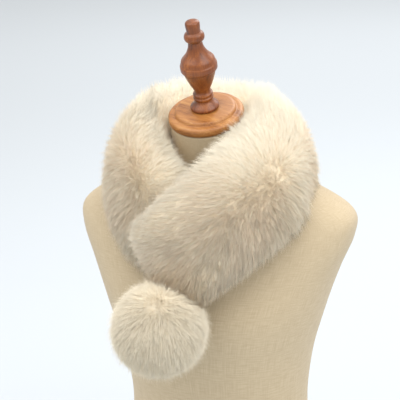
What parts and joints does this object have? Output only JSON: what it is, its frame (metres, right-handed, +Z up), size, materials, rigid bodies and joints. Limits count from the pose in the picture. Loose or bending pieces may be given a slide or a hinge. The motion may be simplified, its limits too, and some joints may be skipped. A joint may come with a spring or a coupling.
{
  "type": "fur collar wrap on a dress form",
  "caption": "Long-haired ivory fur collar wrapped round the neck and crossed at the front, with a fur pompom on its end, shown on a linen dress form with a turned wooden finial.",
  "frame": {"origin": "centre of the dress form's flat base, on the surface it stands on", "axes": "+Z up the form to the finial, -Y the way the front faces, +X to the left-hand side of the wearer"},
  "size_m": [0.3822, 0.3821, 0.783],
  "materials": {
    "form_linen": "matt, plain weave",
    "cap_wood": "satin",
    "finial_wood": "satin",
    "collar_fur": "long soft fur",
    "pompom_fur": "long soft fur"
  },
  "bodies": {
    "root": {"form_torso": "form_linen", "neck_cap": "cap_wood", "finial": "finial_wood", "collar_under": "collar_fur", "collar_back": "collar_fur", "collar_over": "collar_fur", "pompom": "pompom_fur"}
  },
  "joints": []
}
